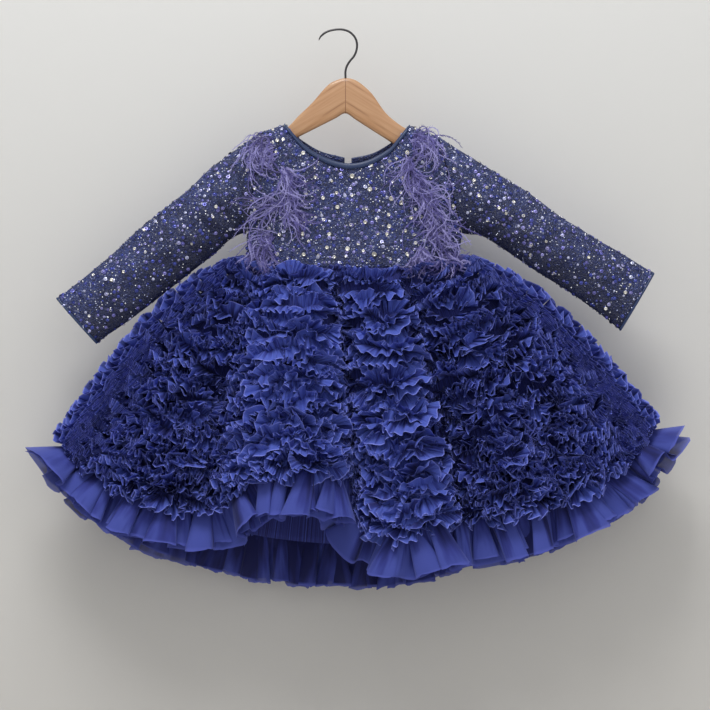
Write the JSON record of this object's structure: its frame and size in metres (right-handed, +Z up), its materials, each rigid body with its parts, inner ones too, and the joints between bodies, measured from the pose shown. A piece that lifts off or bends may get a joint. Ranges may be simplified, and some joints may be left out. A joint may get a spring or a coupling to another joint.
{
  "type": "ruffled dress on a wooden hanger",
  "caption": "Toddler's long-sleeved party dress with a beaded bodice, feather trims and a full skirt of tulle ruffles, hanging on a wooden hanger with a steel hook.",
  "frame": {"origin": "inside of the crown of the hanger's hook, where a rail or wall hook holds it", "axes": "+X to the right of someone facing the front, along the widest extent; -Y out of the front; +Z up"},
  "size_m": [0.8034, 0.1914, 0.6816],
  "materials": {
    "beaded_mesh": "navy mesh with sequins, beads and rhinestones sewn on",
    "satin_binding": "soft satin sheen",
    "zip_tape": "plain woven tape with the closed teeth hidden",
    "ruffled_tulle": "matte gathered tulle",
    "hem_tulle": "sheer tulle",
    "feathers": "soft plume",
    "varnished_wood": "satin varnish",
    "hook_steel": "dark drawn wire"
  },
  "bodies": {
    "root": {"bodice_front": "beaded_mesh", "bodice_back_left": "beaded_mesh", "bodice_back_right": "beaded_mesh", "sleeve_left": "beaded_mesh", "sleeve_right": "beaded_mesh", "neck_binding_front": "satin_binding", "neck_binding_back_left": "satin_binding", "neck_binding_back_right": "satin_binding", "back_zip": "zip_tape", "skirt_base": "ruffled_tulle", "ruffle_tier_1": "ruffled_tulle", "ruffle_tier_2": "ruffled_tulle", "ruffle_tier_3": "ruffled_tulle", "ruffle_tier_4": "ruffled_tulle", "ruffle_tier_5": "ruffled_tulle", "ruffle_tier_6": "ruffled_tulle", "ruffle_tier_7": "ruffled_tulle", "ruffle_tier_8": "ruffled_tulle", "ruffle_tier_9": "ruffled_tulle", "hem_frill": "hem_tulle", "feather_trim_left": "feathers", "feather_trim_right": "feathers", "hanger_wood": "varnished_wood", "hanger_hook": "hook_steel"}
  },
  "joints": []
}
